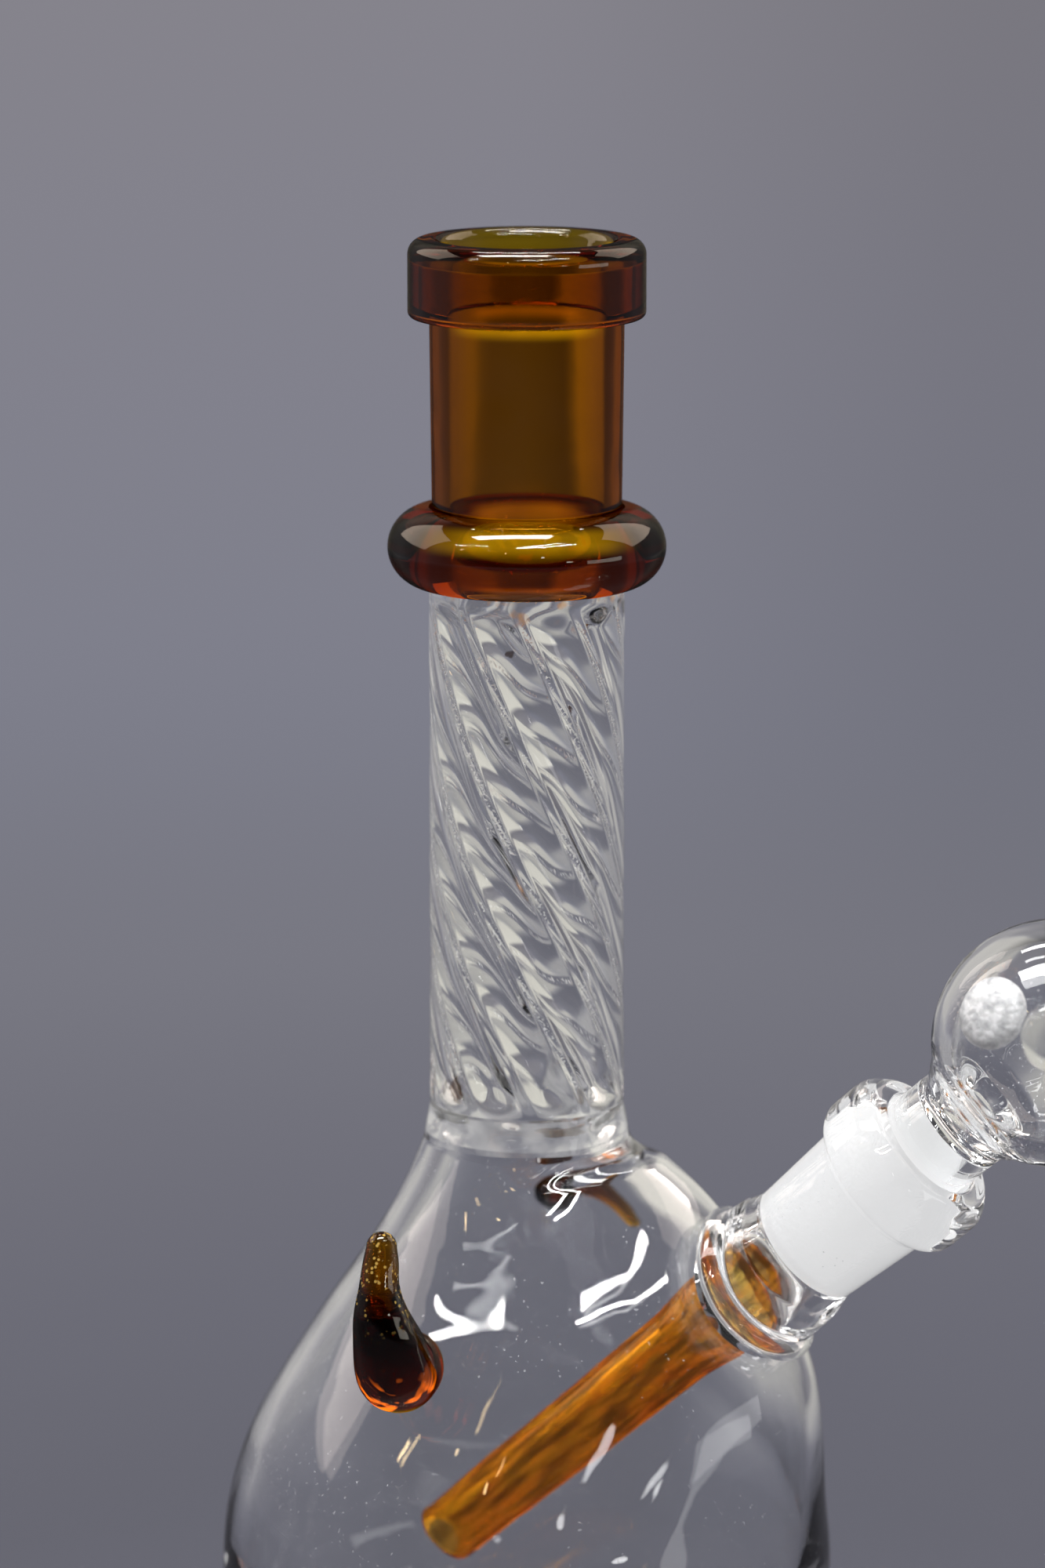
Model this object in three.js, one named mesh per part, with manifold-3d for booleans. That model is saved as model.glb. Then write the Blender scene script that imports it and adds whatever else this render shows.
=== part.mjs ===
// A lampworked glass water pipe: a clear teardrop flask with a flat base, a clear neck with twisted inner
// ribs, an amber ring, mouthpiece and lip, two amber horns, and an inclined 14.5 mm ground joint that
// carries an amber downstem inside the flask and a lift-out ball bowl outside it.
//
// Millimetres, +Z up. The origin is the centre of the flat base. The front of the pipe faces -Y, and the
// inclined arm leans to +X and a little towards the front.
import * as THREE from "three";
import { mergeVertices } from "three/addons/utils/BufferGeometryUtils.js";
import Module from "manifold-3d";

const wasm = await Module();
wasm.setup();

// ---- Driving dimensions ----------------------------------------------------------------------------
const GAP = 0.3; // air between two pieces that are fused on the real pipe

// Flask: flat base, rounded corner, belly arc, straight cone, then a shoulder that turns in to the neck.
const FLASK = {
  baseRadius: 27,
  cornerHeight: 24,
  bellyRadius: 41.3,
  bellyHeight: 27,
  bellyArc: 43,
  coneAngle: THREE.MathUtils.degToRad(32.4),
  wall: 2.6,
  floor: 4,
};

// The upright stack above the flask.
const NECK = { radius: 13, wall: 2.2, bottom: 88, length: 72.4 };
const WELD = { bottom: 85.5, top: 90.5, innerRadius: 9.6, bulge: 0.45 };
const RIBS = {
  count: 9,
  depth: 1.5,
  start: THREE.MathUtils.degToRad(12.7),
  twist: THREE.MathUtils.degToRad(-176),
  fadeLength: 5,
};
const RING = { radius: 18.5, height: 10.9, innerRadius: 10.7 };
const MOUTHPIECE = { topRadius: 12.9, bottomRadius: 12.6, length: 25.1, wall: 2.3 };
const LIP = { radius: 15.75, height: 10.3, crown: 3.2, edge: 2.6 };

// The inclined arm. Its axis crosses the flask's axis at ARM.height, and stations along it are measured
// from that crossing, positive outwards.
const ARM = {
  height: 38.7,
  tilt: THREE.MathUtils.degToRad(41.6),
  turn: THREE.MathUtils.degToRad(24),
};
const BOSS = { top: 42.8, bore: 9, innerReach: 10.5, outerReach: 34, rimFade: 5 };
const ARM_WELD = { radius: 9.75, thickness: 1.35 };
const DOWNSTEM = {
  end: -16.6,
  endRadius: 4.5,
  topRadius: 5.1,
  wall: 2,
  flareStart: 31,
  flangeRadius: 8.5,
};

// 14.5 mm standard taper joint, 1 in 10 on the diameter, 23 mm long.
const GROUND = { largeRadius: 7.25, length: 23, taper: 0.05, play: 0.2 };
const SOCKET = {
  mouth: 77.6,
  footRadius: 9.9,
  waistRadius: 8.7,
  collarRadius: 9.7,
  beadRadius: 12.1,
  beadLength: 9.4,
  boreBelow: 6.6,
};
const PLUG = { tubeRadius: 7.3, bore: 5, top: 83, shoulder: 1 };
const BALL = { station: 100.6, radius: 16.2, wall: 2.9, mouthRadius: 9.5, draftHole: 2.2 };
const DOT = { radius: 4.6, rise: 1.9 };

// Horns: a path through named points, and the radius of the horn at each of them.
const HORN_FRONT = {
  path: [
    [-15.2, -20, 59],
    [-16.2, -27, 60.6],
    [-17.1, -31.5, 61.6],
    [-18.1, -34.5, 65.9],
    [-19, -35.5, 70.1],
    [-19.2, -35.5, 73.9],
    [-19, -35, 77.2],
    [-18.9, -34.5, 79.1],
  ],
  radii: [4.6, 5.2, 5.4, 4.7, 3.7, 2.7, 2.35, 2],
};
const HORN_REAR = {
  path: [
    [4.3, 16, 74.7],
    [3.7, 21, 73.6],
    [5.5, 26, 72.6],
    [8.8, 29, 71.2],
    [12, 29, 69.8],
    [14.8, 27.5, 67.9],
    [16.7, 25.5, 66.3],
  ],
  radii: [3.2, 3.1, 2.8, 2.3, 1.9, 1.5, 1.1],
};

// Facets round each piece.
const SIDES = { flask: 44, neck: 36, round: 32, arm: 28, stem: 20, ball: 28, horn: 12 };

// ---- Materials -------------------------------------------------------------------------------------
const clearGlass = new THREE.MeshStandardMaterial({
  color: 0xe4e8ea,
  roughness: 0.03,
  metalness: 0,
  transparent: true,
  opacity: 0.35,
});
const amberGlass = new THREE.MeshStandardMaterial({
  color: 0x8a4508,
  roughness: 0.04,
  metalness: 0,
  transparent: true,
  opacity: 0.8,
});
const groundGlass = new THREE.MeshStandardMaterial({
  color: 0xe9eaec,
  roughness: 0.6,
  metalness: 0,
  transparent: true,
  opacity: 0.9,
});

// ---- Geometry helpers ------------------------------------------------------------------------------

// Merges shared vertices, drops collapsed triangles, and turns the faces outwards if they face in.
function closed(geometry) {
  const bare = new THREE.BufferGeometry().setAttribute("position", geometry.getAttribute("position"));
  if (geometry.index) bare.setIndex(geometry.index);
  const merged = mergeVertices(bare, 1e-4);
  const corners = merged.index.array;
  const place = merged.getAttribute("position");
  const [a, b, c] = [new THREE.Vector3(), new THREE.Vector3(), new THREE.Vector3()];
  const kept = [];
  let volume = 0;
  for (let i = 0; i < corners.length; i += 3) {
    const [p, q, r] = [corners[i], corners[i + 1], corners[i + 2]];
    if (p === q || q === r || r === p) continue;
    kept.push(p, q, r);
    a.fromBufferAttribute(place, p);
    b.fromBufferAttribute(place, q);
    c.fromBufferAttribute(place, r);
    volume += a.dot(b.cross(c));
  }
  if (volume < 0) kept.reverse();
  return merged.setIndex(kept);
}

function toSolid(geometry) {
  const shape = closed(geometry);
  const vertProperties = new Float32Array(shape.getAttribute("position").array);
  const triVerts = new Uint32Array(shape.index.array);
  return new wasm.Manifold(new wasm.Mesh({ numProp: 3, vertProperties, triVerts }));
}

function fromSolid(solid) {
  const mesh = solid.getMesh();
  return new THREE.BufferGeometry()
    .setAttribute("position", new THREE.BufferAttribute(new Float32Array(mesh.vertProperties), 3))
    .setIndex(new THREE.BufferAttribute(new Uint32Array(mesh.triVerts), 1));
}

const cut = (geometry, tool) => fromSolid(toSolid(geometry).subtract(toSolid(tool)));

// A solid of revolution about +Z from [radius, height] points that close on themselves or on the axis.
function turned(points, sides) {
  const profile = points.map(([radius, height]) => new THREE.Vector2(radius, height));
  if (points[0][0] > 0) profile.push(profile[0]);
  return closed(new THREE.LatheGeometry(profile, sides).rotateX(Math.PI / 2));
}

// Points on a circular or elliptical arc, as [radius, height], angles in radians.
function arc(centre, size, from, to, steps) {
  return Array.from({ length: steps + 1 }, (_, i) => {
    const angle = from + ((to - from) * i) / steps;
    return [centre[0] + size[0] * Math.cos(angle), centre[1] + size[1] * Math.sin(angle)];
  });
}

// Moves each vertex with move(point), where point is a Vector3 changed in place.
function reshape(geometry, move) {
  const place = geometry.getAttribute("position");
  const point = new THREE.Vector3();
  for (let i = 0; i < place.count; i++) {
    move(point.fromBufferAttribute(place, i));
    place.setXYZ(i, point.x, point.y, point.z);
  }
  return geometry;
}

// A round bar along a smooth path whose radius changes from point to point, with domed ends.
function taperedBar(path, radii, sides, rings) {
  const curve = new THREE.CatmullRomCurve3(path.map((p) => new THREE.Vector3(...p)));
  const girth = new THREE.SplineCurve(radii.map((r, i) => new THREE.Vector2(i / (radii.length - 1), r)));
  const frames = curve.computeFrenetFrames(rings, false);
  const domeSteps = 3;
  const sections = [];
  const addSection = (t, ring, scale, reach) => {
    const centre = curve.getPoint(t).addScaledVector(frames.tangents[ring], reach);
    sections.push({ centre, ring, radius: girth.getPoint(t).y * scale });
  };
  for (let i = domeSteps; i > 0; i--) {
    const angle = ((Math.PI / 2) * i) / domeSteps;
    addSection(0, 0, Math.cos(angle), -radii[0] * Math.sin(angle) * 0.3);
  }
  for (let i = 0; i <= rings; i++) addSection(i / rings, i, 1, 0);
  for (let i = 1; i <= domeSteps; i++) {
    const angle = ((Math.PI / 2) * i) / domeSteps;
    addSection(1, rings, Math.cos(angle), radii[radii.length - 1] * Math.sin(angle));
  }
  const vertices = [];
  const faces = [];
  for (const { centre, ring, radius } of sections) {
    for (let k = 0; k < sides; k++) {
      const angle = (2 * Math.PI * k) / sides;
      const vertex = centre.clone();
      vertex.addScaledVector(frames.normals[ring], radius * Math.cos(angle));
      vertex.addScaledVector(frames.binormals[ring], radius * Math.sin(angle));
      vertices.push(vertex.x, vertex.y, vertex.z);
    }
  }
  for (let i = 0; i < sections.length - 1; i++) {
    for (let k = 0; k < sides; k++) {
      const [p, q] = [i * sides + k, i * sides + ((k + 1) % sides)];
      faces.push(p, q, q + sides, p, q + sides, p + sides);
    }
  }
  const bar = new THREE.BufferGeometry();
  bar.setAttribute("position", new THREE.Float32BufferAttribute(vertices, 3));
  return closed(bar.setIndex(faces));
}

// ---- Flask -----------------------------------------------------------------------------------------

// The flask's outer outline from the middle of the base to the foot of the neck, as [radius, height].
function flaskOutline() {
  const { baseRadius, cornerHeight, bellyRadius, bellyHeight, bellyArc, coneAngle } = FLASK;
  const corner = [bellyRadius - baseRadius, cornerHeight];
  const shoulder = [
    [23.9, 67.3],
    [20.0, 73.7],
    [17.2, 78.6],
    [15.4, 82],
    [14.1, WELD.bottom],
  ];
  return [
    [0, 0],
    ...arc([baseRadius, cornerHeight], corner, -Math.PI / 2, 0, 6),
    ...arc([bellyRadius - bellyArc, bellyHeight], [bellyArc, bellyArc], 0, coneAngle, 4),
    ...shoulder,
  ];
}

// The outline moved by a distance along its normals, negative inwards. The first point stays on the axis.
function offsetOutline(outline, distance) {
  return outline.map(([radius, height], i) => {
    const [before, after] = [outline[Math.max(i - 1, 0)], outline[Math.min(i + 1, outline.length - 1)]];
    const along = new THREE.Vector2(after[0] - before[0], after[1] - before[1]).normalize();
    return [i ? radius + along.y * distance : 0, height - along.x * distance];
  });
}

const outline = flaskOutline();

// The flask's outer radius at a height, from the outline.
function flaskRadius(height) {
  for (let i = 1; i < outline.length; i++) {
    const [[lowRadius, low], [highRadius, high]] = [outline[i - 1], outline[i]];
    if (height <= high) {
      return THREE.MathUtils.mapLinear(height, low, high, lowRadius, highRadius);
    }
  }
  return NECK.radius;
}

// ---- The arm's own frame ---------------------------------------------------------------------------
const arm = new THREE.Group();
arm.position.z = ARM.height;
arm.rotation.set(0, Math.PI / 2 - ARM.tilt, -ARM.turn, "ZYX");
arm.updateMatrix();
const toArm = arm.matrix.clone().invert();

// The station at which the flask's wall lies under a point of the arm, at that radius and angle.
function seat(radius, angle) {
  const point = new THREE.Vector3();
  const outside = (station) => {
    point.set(radius * Math.cos(angle), radius * Math.sin(angle), station).applyMatrix4(arm.matrix);
    return Math.hypot(point.x, point.y) > flaskRadius(point.z);
  };
  let [low, high] = [10, 60];
  while (high - low > 0.01) {
    const middle = (low + high) / 2;
    if (outside(middle)) high = middle;
    else low = middle;
  }
  return high;
}

const seatAngles = Array.from({ length: SIDES.arm }, (_, i) => (2 * Math.PI * i) / SIDES.arm);
const seatMean =
  seatAngles.reduce((sum, angle) => sum + seat(ARM_WELD.radius, angle), 0) / SIDES.arm;
const BOSS_LIFT = BOSS.top - seatMean;

// Bends the foot of a turned arm piece so that it follows the saddle shape of the flask's wall: in full
// from the full station on, and not at all from the plain station on.
function followWall(geometry, full, plain) {
  return reshape(geometry, (point) => {
    const share = THREE.MathUtils.clamp((point.z - plain) / (full - plain), 0, 1);
    point.z += share * (seat(ARM_WELD.radius, Math.atan2(point.y, point.x)) - seatMean);
  });
}

// The flask's wall is drawn out into a wide boss round the arm, but its top rim stays round and level.
function pullBoss(point) {
  const local = point.clone().applyMatrix4(toArm);
  if (local.z < 0) return;
  const distance = Math.hypot(local.x, local.y);
  const near = 1 - THREE.MathUtils.smoothstep(distance, BOSS.innerReach, BOSS.outerReach);
  const belowRim = THREE.MathUtils.smoothstep(WELD.bottom - point.z, 0, BOSS.rimFade);
  local.z += BOSS_LIFT * near * belowRim;
  point.copy(local.applyMatrix4(arm.matrix));
}

function flaskBody() {
  const inner = offsetOutline(outline, -FLASK.wall).filter(([, height]) => height > FLASK.floor);
  const floorRadius = inner[0][0] - 2;
  const wall = [...outline, ...inner.reverse(), [floorRadius, FLASK.floor], [0, FLASK.floor]];
  const shell = reshape(turned(wall, SIDES.flask), pullBoss);
  const bore = new THREE.CylinderGeometry(BOSS.bore, BOSS.bore, 40, SIDES.arm).rotateX(Math.PI / 2);
  bore.translate(0, 0, BOSS.top).applyMatrix4(arm.matrix);
  return cut(shell, bore);
}

// A solid that fills the flask and stands a gap proud of it, for cutting back what is fused to it.
const flaskKeepOut = turned([...offsetOutline(outline, GAP + 0.1), [0, WELD.bottom]], SIDES.flask);

// ---- Upright stack ---------------------------------------------------------------------------------

// A short thick ring of clear glass between the flask and the neck.
function shoulderWeld() {
  const { bottom, top, innerRadius, bulge } = WELD;
  const middle = (bottom + top) / 2;
  return turned(
    [
      [14.1, bottom + GAP],
      [NECK.radius + bulge, middle],
      [NECK.radius, top - GAP],
      [innerRadius + 0.8, top - GAP],
      [innerRadius, middle],
      [innerRadius + 1, bottom + GAP],
    ],
    SIDES.round,
  );
}

// The neck: round outside, with ribs inside that run down it as a steep helix and fade at both ends.
function neckTube() {
  const bottom = WELD.top;
  const top = NECK.bottom + NECK.length;
  const rows = 10;
  const heights = Array.from({ length: rows + 1 }, (_, i) => bottom + ((top - bottom) * i) / rows);
  const bore = NECK.radius - NECK.wall;
  const wall = [
    ...heights.map((height) => [NECK.radius, height]),
    ...heights.toReversed().map((height) => [bore, height]),
  ];
  return reshape(turned(wall, SIDES.neck), (point) => {
    const radius = Math.hypot(point.x, point.y);
    if (radius > (NECK.radius + bore) / 2) return;
    const angle = Math.atan2(point.y, point.x);
    const twist = RIBS.start + (RIBS.twist * (point.z - bottom)) / (top - bottom);
    const fade = Math.min(point.z - bottom, top - point.z, RIBS.fadeLength) / RIBS.fadeLength;
    const rib = 0.5 + 0.5 * Math.cos(RIBS.count * (angle - twist));
    const scale = (radius - RIBS.depth * fade * rib) / radius;
    point.x *= scale;
    point.y *= scale;
  });
}

const RING_BOTTOM = NECK.bottom + NECK.length;
const RING_TOP = RING_BOTTOM + RING.height;
const LIP_BOTTOM = RING_TOP + MOUTHPIECE.length;
const LIP_TOP = LIP_BOTTOM + LIP.height;

// The amber ring: a solid half-round bulge with a straight bore.
function neckRing() {
  const middle = (RING_BOTTOM + RING_TOP) / 2;
  const size = [RING.radius - NECK.radius, RING.height / 2 - GAP];
  const bulge = arc([NECK.radius, middle], size, -Math.PI / 2, Math.PI / 2, 8);
  const ends = [RING_TOP - GAP, RING_BOTTOM + GAP].map((height) => [RING.innerRadius, height]);
  return turned([...bulge, ...ends], SIDES.round);
}

function mouthpieceTube() {
  const { topRadius, bottomRadius, wall } = MOUTHPIECE;
  const end = LIP_TOP - LIP.crown - GAP;
  return turned(
    [
      [bottomRadius, RING_TOP],
      [topRadius, LIP_BOTTOM],
      [topRadius, end],
      [topRadius - wall, end],
      [bottomRadius - wall, RING_TOP],
    ],
    SIDES.round,
  );
}

// The lip: a second, wider layer of amber round the end of the mouthpiece, turned in over it at the top.
function lipCollar() {
  const sleeve = MOUTHPIECE.topRadius + GAP;
  const bore = MOUTHPIECE.topRadius - MOUTHPIECE.wall;
  const round = [LIP.edge, LIP.edge];
  const outerEdge = LIP.radius - LIP.edge;
  return turned(
    [
      [sleeve, LIP_BOTTOM],
      ...arc([outerEdge, LIP_BOTTOM + LIP.edge], round, -Math.PI / 2, 0, 4),
      ...arc([outerEdge, LIP_TOP - LIP.edge], round, 0, Math.PI / 2, 5),
      [bore + 1.2, LIP_TOP - 0.5],
      [bore, LIP_TOP - 1.8],
      [bore, LIP_TOP - LIP.crown],
      [sleeve, LIP_TOP - LIP.crown],
    ],
    SIDES.round,
  );
}

const horn = ({ path, radii }) => cut(taperedBar(path, radii, SIDES.horn, 12), flaskKeepOut);

// ---- Arm -------------------------------------------------------------------------------------------

// The bead of clear glass that seals the arm to the boss. It follows the boss's rim.
function armWeldRing() {
  const ring = new THREE.TorusGeometry(ARM_WELD.radius, ARM_WELD.thickness, 8, SIDES.arm);
  ring.translate(0, 0, BOSS.top + GAP + ARM_WELD.thickness);
  return closed(followWall(ring, -1, -2));
}

const SOCKET_FOOT = BOSS.top + 2 * (GAP + ARM_WELD.thickness);

// The downstem: a slightly tapered tube inside the flask that opens into a trumpet flange under the arm.
function downstem() {
  const { end, endRadius, topRadius, wall, flareStart, flangeRadius } = DOWNSTEM;
  const rim = BOSS.top - 0.2;
  const outer = [
    [endRadius, end],
    [topRadius, flareStart],
    [topRadius + 0.4, flareStart + 5],
    [topRadius + 1.6, rim - 2.6],
    [flangeRadius, rim - 1.1],
  ];
  const inner = [
    [flangeRadius, rim],
    [topRadius + 1, rim - 0.9],
    [topRadius - 0.7, flareStart + 5.5],
    [topRadius - wall, flareStart],
    [endRadius - wall, end],
  ];
  return followWall(turned([...outer, ...inner], SIDES.stem), rim - 1.5, flareStart);
}

// The socket: a clear stub, a conical ground bore and a thick clear bead round the mouth.
function jointSocket() {
  const { mouth, footRadius, waistRadius, collarRadius, beadRadius, beadLength, boreBelow } = SOCKET;
  const groundEnd = mouth - GROUND.length - 0.5;
  const smallRadius = GROUND.largeRadius - GROUND.taper * GROUND.length;
  const beadMiddle = mouth - beadLength / 2;
  const beadSize = [beadRadius - collarRadius, beadLength / 2];
  const socket = turned(
    [
      [footRadius, SOCKET_FOOT],
      [footRadius - 0.2, groundEnd - 2.6],
      [waistRadius, groundEnd],
      [collarRadius, mouth - beadLength - 0.2],
      ...arc([collarRadius, beadMiddle], beadSize, -1.2, 1.35, 6),
      [collarRadius - 0.8, mouth],
      [GROUND.largeRadius, mouth - 0.7],
      [smallRadius, groundEnd],
      [smallRadius - 0.2, groundEnd - 1.2],
      [boreBelow, SOCKET_FOOT],
    ],
    SIDES.round,
  );
  return followWall(socket, SOCKET_FOOT + 0.5, groundEnd - 2);
}

// ---- Lift-out bowl ---------------------------------------------------------------------------------

// The bowl's ground plug, which seats in the socket, with the clear tube above it.
function bowlPlug() {
  const { tubeRadius, bore, top, shoulder } = PLUG;
  const start = SOCKET.mouth - GROUND.length;
  const end = SOCKET.mouth + 0.6;
  const radiusAt = (station) =>
    GROUND.largeRadius - GROUND.play - GROUND.taper * (SOCKET.mouth - 0.7 - station);
  return turned(
    [
      [radiusAt(start), start],
      [radiusAt(end), end],
      [tubeRadius, end + shoulder],
      [tubeRadius, top],
      [bore, top],
      [bore, start],
    ],
    SIDES.round,
  );
}

// The ball: a thick hollow sphere with an open mouth, and a draft hole down to the plug's tube.
function bowlBall() {
  const { station, radius, wall, mouthRadius, draftHole } = BALL;
  const start = PLUG.top + GAP;
  const innerRadius = radius - wall;
  const centre = [0, station];
  const degrees = THREE.MathUtils.degToRad;
  const mouthAngle = Math.acos(mouthRadius / radius);
  const lip = wall / 2;
  const lipCentre = [
    (radius - lip) * Math.cos(mouthAngle),
    station + (radius - lip) * Math.sin(mouthAngle) + lip * 0.4,
  ];
  return turned(
    [
      [PLUG.tubeRadius, start],
      [PLUG.tubeRadius + 0.3, start + 1.6],
      ...arc(centre, [radius, radius], degrees(-58), mouthAngle, 10),
      ...arc(lipCentre, [lip * 1.15, lip * 1.15], mouthAngle, mouthAngle + Math.PI * 0.9, 4),
      ...arc(centre, [innerRadius, innerRadius], mouthAngle - 0.06, degrees(-80), 8),
      [draftHole, station - innerRadius - 1],
      [PLUG.bore, start + 0.8],
      [PLUG.bore, start],
    ],
    SIDES.ball,
  );
}

// Low domes of glass fused to the ball in a row, as a grip and to stop the bowl from rolling.
const DOT_PLACES = [
  { around: -116.8, fromMouth: 83.9 },
  { around: -89.1, fromMouth: 65.2 },
  { around: -53.8, fromMouth: 52.9 },
];

function bowlDot({ around, fromMouth }) {
  const towards = new THREE.Vector3().setFromSphericalCoords(
    BALL.radius,
    THREE.MathUtils.degToRad(fromMouth),
    THREE.MathUtils.degToRad(around),
  );
  // setFromSphericalCoords measures from +Y and turns from +Z, so its axes become this frame's Z and X.
  const place = new THREE.Vector3(towards.z, towards.x, towards.y);
  const dome = new THREE.SphereGeometry(DOT.radius, 14, 8).scale(1, 1, DOT.rise / DOT.radius);
  const upright = new THREE.Vector3(0, 0, 1);
  dome.applyQuaternion(new THREE.Quaternion().setFromUnitVectors(upright, place.clone().normalize()));
  dome.translate(place.x, place.y, place.z + BALL.station);
  const keepOut = new THREE.SphereGeometry(BALL.radius + GAP, 40, 28).rotateX(Math.PI / 2);
  keepOut.translate(0, 0, BALL.station);
  return cut(dome, keepOut);
}

// ---- Assembly --------------------------------------------------------------------------------------
function piece(parent, name, geometry, material) {
  geometry.computeVertexNormals();
  const mesh = new THREE.Mesh(geometry, material);
  mesh.name = name;
  parent.add(mesh);
}

const pipe = new THREE.Group();
pipe.add(arm);

piece(pipe, "flask_body", flaskBody(), clearGlass);
piece(pipe, "shoulder_weld", shoulderWeld(), clearGlass);
piece(pipe, "neck_tube", neckTube(), clearGlass);
piece(pipe, "neck_ring", neckRing(), amberGlass);
piece(pipe, "mouthpiece_tube", mouthpieceTube(), amberGlass);
piece(pipe, "lip_collar", lipCollar(), amberGlass);
piece(pipe, "horn_front", horn(HORN_FRONT), amberGlass);
piece(pipe, "horn_rear", horn(HORN_REAR), amberGlass);

piece(arm, "arm_weld_ring", armWeldRing(), clearGlass);
piece(arm, "downstem", downstem(), amberGlass);
piece(arm, "joint_socket", jointSocket(), groundGlass);

piece(arm, "bowl_plug", bowlPlug(), groundGlass);
piece(arm, "bowl_ball", bowlBall(), clearGlass);
DOT_PLACES.forEach((place, i) => piece(arm, `bowl_dot_${i + 1}`, bowlDot(place), clearGlass));

export default pipe;
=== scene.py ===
import math

import bpy
import numpy as np
from mathutils import Matrix, Vector


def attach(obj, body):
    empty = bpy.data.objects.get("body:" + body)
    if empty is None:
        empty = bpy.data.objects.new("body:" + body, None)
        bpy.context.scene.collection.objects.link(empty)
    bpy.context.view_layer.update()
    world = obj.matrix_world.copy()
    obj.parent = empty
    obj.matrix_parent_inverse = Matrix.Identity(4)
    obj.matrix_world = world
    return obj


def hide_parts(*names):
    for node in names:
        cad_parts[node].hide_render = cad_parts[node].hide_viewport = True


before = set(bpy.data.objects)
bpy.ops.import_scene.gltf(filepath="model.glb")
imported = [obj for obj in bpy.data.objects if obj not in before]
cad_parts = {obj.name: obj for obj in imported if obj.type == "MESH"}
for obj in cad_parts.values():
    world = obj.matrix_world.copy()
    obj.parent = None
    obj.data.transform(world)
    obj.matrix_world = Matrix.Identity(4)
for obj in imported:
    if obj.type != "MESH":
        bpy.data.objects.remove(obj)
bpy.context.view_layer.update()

MM = 0.001
PIPE, BOWL = "pipe", "bowl"

# ---- Dimensions, in millimetres ----
BASE_RADIUS, CORNER_HEIGHT, BELLY_RADIUS = 27.0, 24.0, 41.3
# Height, and how far the wall leans in from upright there, in degrees.
WALL_LEAN = [
    (27, 0), (33, 8.2), (40, 17.6), (46, 25.4), (52, 30.9), (57, 32.6),
    (60.5, 33.2), (63, 34.4), (65.2, 35.9), (67.4, 34.3), (70, 33.0), (72, 32.0),
    (75, 30.0), (79, 25.7), (82, 22.3), (85.5, 18.3), (88, 13), (90.5, 8),
]
FLASK_TOP = 85.75
# Height, and how thick the wall is there.
WALL_THICKNESS = [(0, 5.5), (5, 5.8), (12, 4.9), (20, 3.7), (30, 2.9), (44, 2.6), (74, 2.7), (FLASK_TOP, 3.1)]
# Radius and height, from the axis outwards: the underside's push-up and the floor inside.
PUSH_UP = [(0.6, 1.2), (8, 1.15), (16, 0.8), (21, 0.3), (24, 0.05)]
FLOOR_DISH, FLOOR_CORNER = [(0.6, 5.4), (8, 5.3), (16, 4.9)], 4.7

SEAM = 0.015  # half the air between two fused pieces
NECK_RADIUS, NECK_BORE = 13.0, 10.8
NECK_BOTTOM, NECK_TOP = 90.3, 160.55
RIB_COUNT, RIB_DEPTH, GROOVE_SHARE = 9, 1.15, 0.2
RIB_RUN_IN, RIB_RUN_OUT, PLAIN_TOP = 4.5, 3.4, 1.2
TWIST_RATE, TWIST_FROM = math.radians(2.52), 139.2  # per mm of height; a height with a groove right in front
# Brown residue in the neck: the middle of each spot, and its radius.
RESIDUE = [((-9.0, -6.2, 93.6), 2.0), ((-3.2, -10.3, 155.4), 0.9), ((-2.2, -10.5, 153.2), 0.7)]

RING_BOTTOM, RING_TOP, RING_RADIUS, RING_ROOT = 160.58, 171.2, 18.5, 13.1
TUBE_BOTTOM, TUBE_TOP, TUBE_RADIUS, TUBE_FOOT, TUBE_WALL = 171.23, 203.4, 12.9, 12.6, 2.3
LIP_BOTTOM, LIP_TOP, LIP_RADIUS = 196.4, 206.8, 15.75

# Points along each horn's middle, with the radius there.
FRONT_HORN = [
    (-15.2, -20, 59, 4.6), (-16.2, -27, 60.6, 5.2), (-17.1, -31.5, 61.6, 5.4), (-18.1, -34.5, 65.9, 4.7),
    (-19, -35.5, 70.1, 3.7), (-19.2, -35.5, 73.9, 2.7), (-19, -35, 77.2, 2.35), (-18.9, -34.5, 79.1, 2.0),
]
REAR_HORN = [
    (3.4, 16, 73.6, 3.2), (4.2, 20.8, 74.6, 3.1), (6.4, 24.2, 75.3, 2.9), (9.2, 25.8, 75.0, 2.6),
    (12.0, 26.2, 73.7, 2.1), (14.6, 25.7, 71.8, 1.6), (16.6, 24.9, 69.6, 1.1),
]
HORN_GAP = 0.04

# Stations along the arm's axis, counted from where it crosses the flask's.
ARM_HEIGHT, ARM_TILT, ARM_TURN = 38.7, math.radians(41.6), math.radians(24)
BOSS_TOP, BOSS_BORE, BOSS_INNER, BOSS_OUTER = 42.85, 9.0, 10.5, 34.0
WELD_RADIUS, WELD_THICKNESS, WELD_GAP = 9.75, 1.5, 0.06
WELD_MIDDLE = BOSS_TOP + WELD_GAP + WELD_THICKNESS
SOCKET_FOOT = WELD_MIDDLE + WELD_THICKNESS + WELD_GAP
STEM_RIM, STEM_END = BOSS_TOP - 0.15, -16.6
MOUTH = 77.6
GROUND_LENGTH, GROUND_RADIUS, GROUND_SLOPE = 23.0, 7.25, 0.05
GROUND_END, GROUND_SMALL = MOUTH - GROUND_LENGTH - 0.5, GROUND_RADIUS - GROUND_SLOPE * GROUND_LENGTH
PLUG_START, PLUG_END, PLUG_TOP, PLUG_SHANK, PLUG_BORE = MOUTH - GROUND_LENGTH, MOUTH + 0.4, 82.7, 7.3, 5.2
BALL_STATION, BALL_RADIUS, BALL_WALL, BALL_MOUTH = 100.6, 16.2, 2.9, 9.5

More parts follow.
